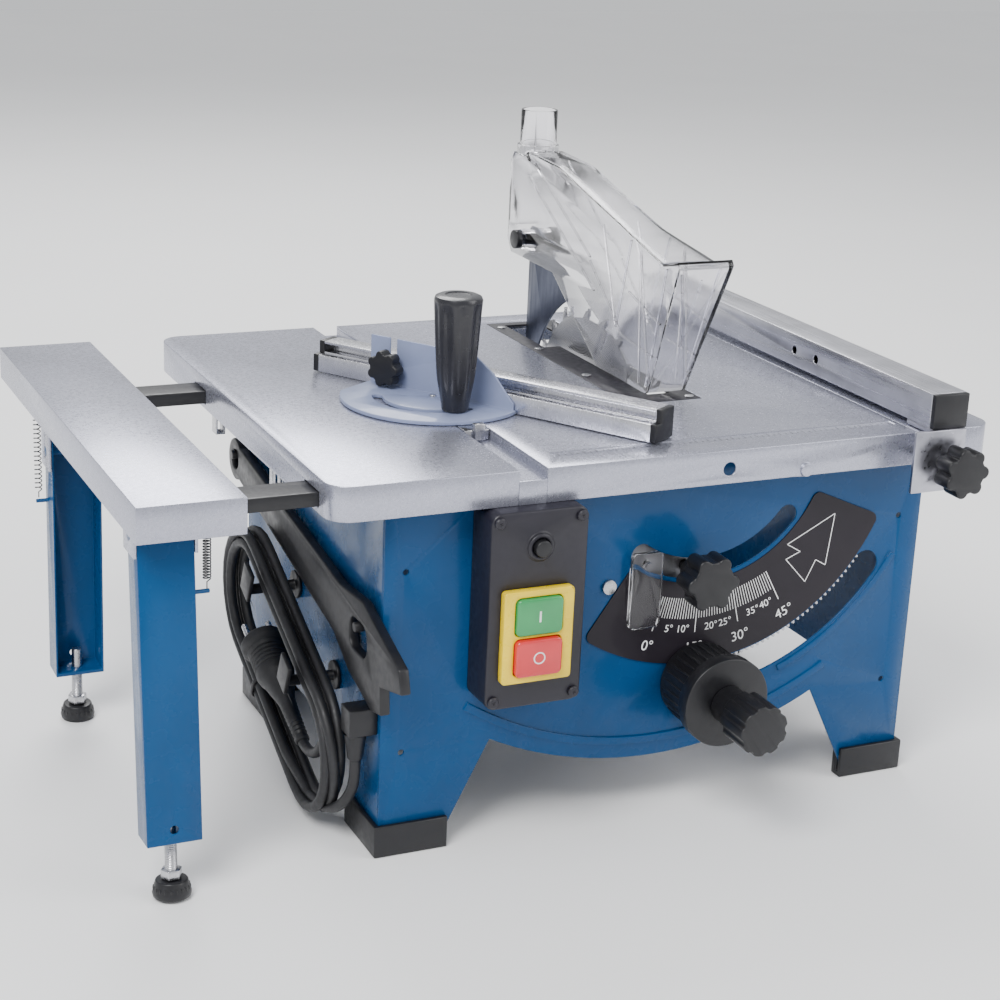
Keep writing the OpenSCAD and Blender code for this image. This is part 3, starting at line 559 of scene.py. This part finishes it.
def wind(points):
    """Adds four turns, two wide and two deep, each easing into the next."""
    layers = [(FAR, INNER), (FAR, OUTER), (NEAR, OUTER), (NEAR, INNER)]
    half_turn = 2 * HANK_HALF + math.pi * INNER
    last_share = (half_turn + HANK_HALF - PLUG_START) / (2 * half_turn)
    last_turn = len(layers) - 1
    for turn, (x, radius) in enumerate(layers):
        next_x, next_radius = layers[min(turn + 1, last_turn)]
        for k in range(TURN_POINTS):
            share = k / TURN_POINTS
            if turn == 0 and k < 2:
                continue
            if turn == last_turn and share > last_share:
                break
            late = max(0.0, (share - EASE_FROM) / (1 - EASE_FROM))
            blend = eased(late) if turn < last_turn else 0.0
            along, across = oval(share, radius + (next_radius - radius) * blend)
            points.append(in_hank(x + (next_x - x) * blend, along, across))


def fold_into_plug(points):
    """Adds the half turn from the upper run down into the plug."""
    radius = (INNER - PLUG_OFFSET) / 2
    for k in range(1, FOLD_POINTS + 1):
        share = k / FOLD_POINTS
        a = math.pi * share
        x = NEAR + (PLUG_X - NEAR) * eased(share)
        points.append(in_hank(x, PLUG_START - radius * math.sin(a),
                              (INNER + PLUG_OFFSET) / 2 + radius * math.cos(a)))
    points.append(in_hank(PLUG_X, PLUG_START + 6, PLUG_OFFSET))


def make_lead():
    """The lead as one curve, and its length in metres."""
    points = curved([ORIGIN + Vector(p) for p in CORD_ROUTE])
    wind(points)
    fold_into_plug(points)
    data = bpy.data.curves.new("mains_lead", "CURVE")
    data.dimensions = "3D"
    spline = data.splines.new("POLY")
    spline.points.add(len(points) - 1)
    for spot, p in zip(spline.points, points):
        spot.co = (*p, 1)
    data.bevel_depth = CORD_D / 2 * MM
    data.bevel_resolution = 5
    data.use_fill_caps = True
    data.materials.append(CORD)
    obj = bpy.data.objects.new("mains_lead", data)
    bpy.context.scene.collection.objects.link(obj)
    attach(obj, "stand")
    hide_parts("cord_tube", "cord_hank")
    return obj, sum((b - a).length for a, b in zip(points, points[1:]))


def make_plug():
    """Moulded body with a grip, collar, ribbed strain relief and two round pins."""
    axis = Vector((0, math.cos(HANK_SLOPE), math.sin(HANK_SLOPE)))
    place = Matrix.Translation(in_hank(PLUG_X, 0, PLUG_OFFSET)) @ turned(axis, (1, 0, 0))
    relief = [(4.6, -64), (5.4, -63)]
    for k in range(9):
        relief += [(5.5 + k * 0.12, -60 + 4 * k), (4.7 + k * 0.2, -58.4 + 4 * k)]
    body = relief + [(7, -22), (9, -14), (11.8, -3), (13.6, 1), (14.8, 6)]
    for k in range(5):
        body += [(14.8, 9 + 4 * k), (13.9, 10.2 + 4 * k), (13.9, 11.2 + 4 * k),
                 (14.8, 12.4 + 4 * k)]
    body += [(15, 31), (17.2, 33), (17.9, 34.5), (17.9, 39.5), (16.8, 41)]
    parts = [lathe("plug_body", body, place, CORD, 56)]
    for s in (-9.5, 9.5):
        pin = place @ Matrix.Translation(Vector((0, s, 0)) * MM)
        parts.append(lathe("plug_pin", [(2.4, 40), (2.4, 58.6), (1.6, 60)], pin, STEEL, 24))
    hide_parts("plug")
    for p in parts:
        on_body(p, "stand")
    return parts


def make_tie():
    """A wire tie wrapped twice round the lower run of the hank."""
    half_width, half_height, middle = 10.3, 10, -INNER - 4
    start, pitch, steps = 20, 1.5, 80
    path = []
    for k in range(steps + 1):
        a = 4 * math.pi * k / steps
        corner = [math.copysign(abs(v) ** 0.5, v) for v in (math.cos(a), math.sin(a))]
        path.append(in_hank((NEAR + FAR) / 2 + half_width * corner[0],
                            start + 2 * pitch * k / steps, middle + half_height * corner[1]))
    tie = tube("lead_tie", path, 0.9, BLACK, 8)
    return on_body(tie, "stand")


lead, lead_length = make_lead()
plug_parts = make_plug()
tie = make_tie()


# ---------- sheet metal, castings and plastic with rounded edges ----------

ROUNDING = {
    "front_panel": 0.5, "side_panels": 0.5, "rear_panel": 0.5, "foot_caps": 1.0,
    "table_main": 0.5, "table_left": 0.5, "table_right": 0.5, "mitre_channel": 0.3,
    "table_insert": 0.5, "rail_guides": 0.8, "switch_box": 1.6, "switch_bezel": 1.0,
    "root_screws": 0.4, "tilt_rack": 0.3, "table_hooks": 0.3, "side_hooks": 0.8,
    "push_stick": 1.2, "cord_gland": 0.8, "tilt_frame": 0.8, "tilt_wheel": 0.9,
    "lift_knob": 0.9, "lift_carriage": 0.8, "motor": 1.2, "riving_knife": 0.25,
    "saw_blade": 0.12, "arbor": 0.3, "fence_rail": 0.4,
    "fence_cap": 0.8, "fence_clamp": 0.5, "mitre_bar": 0.4, "mitre_head": 0.5,
    "mitre_fence": 0.35, "mitre_caps": 0.7, "ext_table": 0.4, "ext_rails": 0.8,
    "ext_leg_front": 0.5, "ext_leg_rear": 0.5, "pointer": 0.7, "start_button": 1.2,
    "stop_button": 1.2, "reset_button": 0.9, "guard_bolt": 0.6}

rounded = {name: rounded_copy(name, width) for name, width in ROUNDING.items()}


# ---------- knobs and handwheel ----------

def facing(x, y, z):
    """A frame at a point: Z to the front, X to the right and Y up."""
    return Matrix.Translation(at(x, y, z)) @ Matrix.Rotation(math.pi / 2, 4, "X")


def down(radius, degrees):
    """A point about the tilt axis, degrees from straight down."""
    a = math.radians(degrees)
    return AXIS[0] + radius * math.sin(a), AXIS[1] - radius * math.cos(a)


def knob_face(node, place, hub, stud):
    """A raised ring and a metal stud in the middle of a knob's front."""
    ring = lathe(node + "_ring", [(hub, -0.4), (hub, -0.05), (hub - 1, -0.02), (hub - 1.6, -0.3)],
                 place, BLACK, 48)
    metal_end = lathe(node + "_stud", [(stud, -1), (stud, -0.3), (stud * 0.85, -0.05)],
                      place, STEEL, 32)
    on_body(ring, BODY_OF[node])
    on_body(metal_end, BODY_OF[node])


def make_star_knobs():
    """Rounded lobes, and the hub and stud that face the front."""
    for node, width in (("lock_knob", 1.4), ("fence_knob", 1.4), ("mitre_knob", 1.0)):
        rounded_copy(node, width, 3)
    lock_radius, lock_angle = 90, -6.6
    x, z = down(lock_radius, lock_angle)
    knob_face("lock_knob", facing(x, FRONT - 37, z), 10, 4)
    knob_face("fence_knob", facing(212, -252, 263), 9, 4)


def make_wheel_grips():
    """Ribs round the tilt wheel's drum, and a cap on the lift knob."""
    ribs = []
    count, radius = 30, 29.9
    for k in range(count):
        a = 2 * math.pi * k / count
        x, z = AXIS[0] + radius * math.cos(a), WHEEL_Z + radius * math.sin(a)
        ribs.append(lathe("rib", [(0.9, 0), (1.1, 1), (1.1, 25), (0.7, 27)],
                          facing(x, FRONT - 8, z), BLACK, 10))
    on_body(join("drum_ribs", ribs), "tilt_handwheel")
    cap = lathe("lift_cap", [(11, -0.6), (11, -0.1), (9.5, -0.02), (8.6, -0.5), (1, -0.5)],
                facing(AXIS[0], FRONT - 102, WHEEL_Z), BLACK, 56)
    on_body(cap, "lift_handle")


def make_mitre_handle():
    """A tall fluted grip with a waist, a crown and a clamping stud."""
    low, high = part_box("mitre_handle")
    centre = (low + high) / 2
    place = Matrix.Translation((centre.x, centre.y, low.z))
    height = (high.z - low.z) / MM
    waist, top = 13.9, 18
    flutes, depth = 9, 0.085

    def flute(angle, z):
        blend = share_of(z - 14, 12) * share_of(height - 4 - z, 6)
        return 1 - depth * blend * (0.5 - 0.5 * math.cos(flutes * angle)) ** 1.5

    outline = [(3.2, 0), (3.2, 3.5), (9.2, 3.7), (10, 4.5), (10.6, 9), (11.8, 16), (13.4, 24)]
    steps = 12
    for k in range(steps + 1):
        t = k / steps
        outline.append((waist + (top - 14) * t ** 0.8, 27 + (height - 33) * t))
    outline += [(17.9, height - 3.6), (17, height - 1.4), (14.6, height - 0.3),
                (10, height - 0.05), (9, height - 0.8), (1, height - 0.8)]
    stands_for(lathe("mitre_handle_grip", outline, place, HANDLE, 108, flute), "mitre_handle")


make_star_knobs()
make_wheel_grips()
make_mitre_handle()


# ---------- springs and levelling feet ----------

def make_spring(node):
    """A tension spring with a straight wire at each end; sizes are in metres."""
    low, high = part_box(node)
    centre = (low + high) / 2
    turns, per_turn = 17, 14
    inset, coil, tail = 0.0004, 0.0026, 0.002
    start, end = low.z + 0.007, high.z - 0.0055
    points = turns * per_turn
    path = [Vector((centre.x, centre.y, z)) for z in (low.z + inset, start - tail)]
    for k in range(points + 1):
        a = 2 * math.pi * k / per_turn
        path.append(Vector((centre.x + coil * math.cos(a), centre.y + coil * math.sin(a),
                            start + (end - start) * k / points)))
    path += [Vector((centre.x, centre.y, z)) for z in (end + tail, high.z - inset)]
    spring = tube(node + "_coil", path, 0.42, FINISH[node], 8)
    stands_for(spring, node)


PAD_RADIUS, PAD_TOP = 12.8, 12.4


def make_foot(node, hinge, splay):
    """A ribbed plastic pad, with a hexagon nut and threaded stud in zinc.

    hinge is where the leg folds, in mm, and splay leans the leg, in degrees."""
    foot = rounded_copy(node, 0.5)
    lean = math.radians(abs(splay))
    reach = hinge[2] / math.cos(lean) - PAD_RADIUS * math.tan(lean)
    place = (Matrix.Translation(at(*hinge))
             @ Matrix.Rotation(math.radians(-splay), 4, "X")
             @ Matrix.Translation(Vector((0, 0, -reach)) * MM))
    foot.data.materials.append(STEEL)
    for face in foot.data.polygons:
        face.material_index = int((place.inverted() @ face.center).z > PAD_TOP * MM)
    threads = []
    turns, pitch, root, crest = 16, 1.25, 3.95, 4.25
    for k in range(turns):
        height = 20.5 + pitch * k
        ridge = [(root, height), (crest, height + 0.4), (root, height + 0.8)]
        threads.append(lathe("thread", ridge, place, STEEL, 24))
    on_body(join(node + "_thread", threads), BODY_OF[node])
    ribs = []
    count, radius = 20, 12.3
    for k in range(count):
        a = 2 * math.pi * k / count
        side = Vector((radius * math.cos(a), radius * math.sin(a), 0)) * MM
        spot = place @ Matrix.Translation(side)
        ribs.append(lathe("rib", [(0.7, 4), (0.8, 6), (0.5, 8)], spot, BLACK, 8))
    on_body(join(node + "_ribs", ribs), BODY_OF[node])


make_spring("spring_front")
make_spring("spring_rear")
make_foot("foot_front", (-370, -176, 256), 4.3)
make_foot("foot_rear", (-362, 105, 228), -1.7)


# ---------- printed scales and marks ----------

def flat_text(name, words, place, height, material):
    """Raised characters, a tenth of a millimetre proud, facing local Z."""
    data = bpy.data.curves.new(name, "FONT")
    data.body = words
    data.size = height * MM
    data.extrude = 0.00005
    data.align_x, data.align_y = "CENTER", "CENTER"
    source = bpy.data.objects.new(name, data)
    bpy.context.scene.collection.objects.link(source)
    bpy.context.view_layer.update()
    mesh = bpy.data.meshes.new_from_object(source)
    bpy.data.objects.remove(source)
    mesh.transform(place)
    mesh.materials.clear()
    mesh.materials.append(material)
    obj = bpy.data.objects.new(name, mesh)
    bpy.context.scene.collection.objects.link(obj)
    return obj


# The scale's zero lies this far to the left of straight down, and its print just stands
# out of the plate
ZERO_ANGLE = 16
SCALE_FACE = FRONT - 1.12
MOST_DEGREES = 45


def scale_line(name, start, end, width):
    """A printed line between two (x, z) points of the front plate."""
    (x0, z0), (x1, z1) = start, end
    line = bar(name, at(x0, SCALE_FACE, z0), at(x1, SCALE_FACE, z1), width, 0.16, WHITE,
               (0, 1, 0))
    on_body(line, "stand")


def make_tilt_scale():
    """Degree marks, numbers outside them and an arrow outline on the front plate."""
    for degrees in range(0, MOST_DEGREES + 1):
        outer, width = (140, 0.7) if degrees % 15 == 0 else (129, 0.5)
        angle = degrees - ZERO_ANGLE
        scale_line("tilt_mark", down(113, angle), down(outer, angle), width)
    for degrees in range(0, MOST_DEGREES + 1, 5):
        radius, shift, size = (152, 0, 11) if degrees % 15 == 0 else (137, 0.6, 8)
        x, z = down(radius, degrees - ZERO_ANGLE + shift)
        turn = Matrix.Rotation(math.radians((degrees - ZERO_ANGLE) * 0.8), 4, "Z")
        number = flat_text("tilt_number", str(degrees) + "\u00b0",
                           facing(x, SCALE_FACE, z) @ turn, size, WHITE)
        on_body(number, "stand")
    corners = [down(r, a) for r, a in ((126, 62), (146, 47), (136, 46), (143, 39), (116, 38),
                                       (120, 44), (107, 42))]
    for start, end in zip(corners, corners[1:] + corners[:1]):
        scale_line("arrow_line", start, end, 0.6)


def make_table_rule():
    """A measuring scale in the shallow groove across the table's front."""
    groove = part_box("table_main")[1].z / MM - 0.58
    first_x, front_y, pitch, count = -88, -185.5, 5, 56
    for step in range(count):
        x = first_x + pitch * step
        length = 6 if step % 2 == 0 else 3.5
        tick = bar("rule_tick", at(x, front_y, groove), at(x, front_y + length, groove),
                   0.45, 0.08, BLACK)
        on_body(tick, "stand")


BOX_FACE = -223
BOX_X, BOX_Z = -118.5, 188


def make_switch_marks():
    """A raised bar on the green button and a ring on the red one."""
    x, z, radius, steps = -120, 171, 4, 40
    on_face, off_face = BOX_FACE - 8.98, BOX_FACE - 10.45
    line = bar("on_mark", at(x, on_face, z + 11), at(x, on_face, z + 19), 1.4, 0.12, WHITE,
               (0, 1, 0))
    on_body(line, "green_button")
    circle = [at(x + radius * math.cos(a), off_face, z - 15 + radius * math.sin(a))
              for a in (2 * math.pi * k / steps for k in range(steps + 1))]
    on_body(tube("off_mark", circle, 0.5, WHITE, 8), "red_button")


def make_box_screws():
    """Dark caps on the switch box's four screws, each with a cross of black bars as painted shade
    for its recess.
    """
    caps = []
    outline = [(4.1, -1.4), (4.1, 0.2), (3.3, 0.9), (1.2, 0.9), (0.9, 0.2)]
    half_cross = Vector((0.0024, 0, 0))
    cross_height = Vector((0, 0, 0.00092))
    for x in (-31, 31):
        for z in (-65.5, 65.5):
            place = facing(BOX_X + x, BOX_FACE - 1.5, BOX_Z + z)
            caps.append(lathe("screw_cap", outline, place, BOX, 28))
            # The recess is not cut; black bars a little proud of the cap paint its shade.
            for turn in (20, 110):
                cross = place @ Matrix.Rotation(math.radians(turn), 4, "Z")
                caps.append(bar("cross", cross @ (cross_height - half_cross),
                                cross @ (cross_height + half_cross), 0.7, 0.15, BLACK,
                                (0, 1, 0)))
    on_body(join("box_screw_caps", caps), "stand")


make_tilt_scale()
make_table_rule()
make_switch_marks()
make_box_screws()


# ---------- guard ----------

# In mm: half the guard's width at its rear, where its widening starts and how far it
# reaches, forwards and upwards, and the cuts that let the sides bend
HALF_GUARD = 15.5
FLARE = 0.5
FLARE_Y, FLARE_REACH = -10, 112
FLARE_Z, FLARE_HEIGHT = 300, 95
GUARD_STATIONS = 12
CUTS_Y, CUTS_Z = (-125, 120), (292, 110)


def flare_of(y, z):
    """How much wider the guard is than at its rear, towards the top of its front."""
    forward = share_of(FLARE_Y - y, FLARE_REACH)
    upward = share_of(z - FLARE_Z, FLARE_HEIGHT)
    return 1 + FLARE * eased(forward) * (0.25 + 0.75 * upward)


def make_guard():
    """The clear cover: its CAD shape, widened towards the mouth."""
    low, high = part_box("guard")
    middle = (low.x + high.x) / 2
    bm = cad_shape("guard")
    for k in range(1, GUARD_STATIONS):
        share = k / GUARD_STATIONS
        for spot, normal in ((at(0, CUTS_Y[0] + CUTS_Y[1] * share, 0), (0, 1, 0)),
                             (at(0, 0, CUTS_Z[0] + CUTS_Z[1] * share), (0, 0, 1))):
            geometry = bm.verts[:] + bm.edges[:] + bm.faces[:]
            bmesh.ops.bisect_plane(bm, geom=geometry, plane_co=spot, plane_no=normal)
    for v in bm.verts:
        local = (v.co - ORIGIN) / MM
        v.co.x = middle + (v.co.x - middle) * flare_of(local.y, local.z)
    guard = link_mesh("guard_shell", bm, CLEAR, 25)
    bevel(guard, 0.35, 2, 40)
    stands_for(guard, "guard")


def side_rib(name, start, end, side):
    """A rib on the guard's side between two (y, z) points, following the flare."""
    count = 6
    spots = []
    for k in range(count + 1):
        y = start[0] + (end[0] - start[0]) * k / count
        z = start[1] + (end[1] - start[1]) * k / count
        spots.append(at(BLADE_X + side * (HALF_GUARD * flare_of(y, z) + 0.3), y, z))
    return join(name, [bar(name, a, b, 1.2, 1.8, CLEAR, (1, 0, 0))
                       for a, b in zip(spots, spots[1:])])


def make_guard_ribs():
    """Crossed stiffening ribs on both sides, and on the mouth's front."""
    lines = [((-76, 296), (-108, 394)), ((-64, 296), (-60, 398)), ((-60, 398), (-80, 300)),
             ((-98, 350), (-40, 362)), ((-40, 402), (-20, 330)), ((-20, 330), (10, 405)),
             ((20, 350), (150, 420)), ((30, 375), (140, 432)), ((-86, 322), (-30, 326)),
             ((-30, 326), (30, 372))]
    for side in (-1, 1):
        for start, end in lines:
            on_body(side_rib("guard_rib", start, end, side), "guard_cover")
    # The mouth leans forwards; its ribs are given in shares of its half width and height
    front = [((-0.75, 0.06), (0.8, 0.95)), ((0.75, 0.06), (-0.8, 0.95)),
             ((-0.8, 0.55), (0.8, 0.55)), ((-0.8, 0.8), (0.8, 0.8)), ((0, 0.08), (0, 0.9))]
    foot_y, foot_z, lean, height = -78, 292, -47, 106
    for ends in front:
        spots = []
        for across, up in ends:
            y, z = foot_y + lean * up, foot_z + height * up
            spots.append(at(BLADE_X + across * HALF_GUARD * flare_of(y, z), y + 1.0, z))
        on_body(bar("mouth_rib", spots[0], spots[1], 1.4, 1.2, CLEAR, (0, 1, 0)),
                "guard_cover")


make_guard()
make_guard_ribs()


# ---------- floor and light ----------

def make_stage():
    """A pale paper floor."""
    bpy.ops.mesh.primitive_plane_add(size=12, location=(0, 0, -0.0003))
    floor = bpy.context.object
    floor.name = "floor"
    n = Nodes("floor_paper")
    n.link(n.ramp(n.noise(3, 3), [(0.3, 0.95), (0.7, 0.97)]), n.shader.inputs["Base Color"])
    n.set(Roughness=0.75)
    floor.data.materials.append(n.material)


LIGHT_AIM = Vector((0, 0, 0.2))


def area_light(name, spot, size, power):
    """A round soft box that faces the saw."""
    data = bpy.data.lights.new(name, "AREA")
    data.shape, data.size, data.energy = "DISK", size, power
    light = bpy.data.objects.new(name, data)
    light.location = spot
    light.rotation_euler = (LIGHT_AIM - Vector(spot)).to_track_quat("-Z", "Y").to_euler()
    bpy.context.scene.collection.objects.link(light)


def make_light():
    """Three soft boxes and a pale surround."""
    area_light("key", (-1.5, -1.3, 2.4), 1.4, 78)
    area_light("fill", (1.9, -1.6, 1.5), 2.0, 34)
    area_light("back", (0.3, 2.1, 2.3), 1.6, 58)
    world = bpy.data.worlds.new("studio")
    world.use_nodes = True
    back = world.node_tree.nodes["Background"]
    back.inputs["Color"].default_value = (0.96, 0.975, 1.0, 1)
    back.inputs["Strength"].default_value = 0.76
    bpy.context.scene.world = world


make_stage()
make_light()
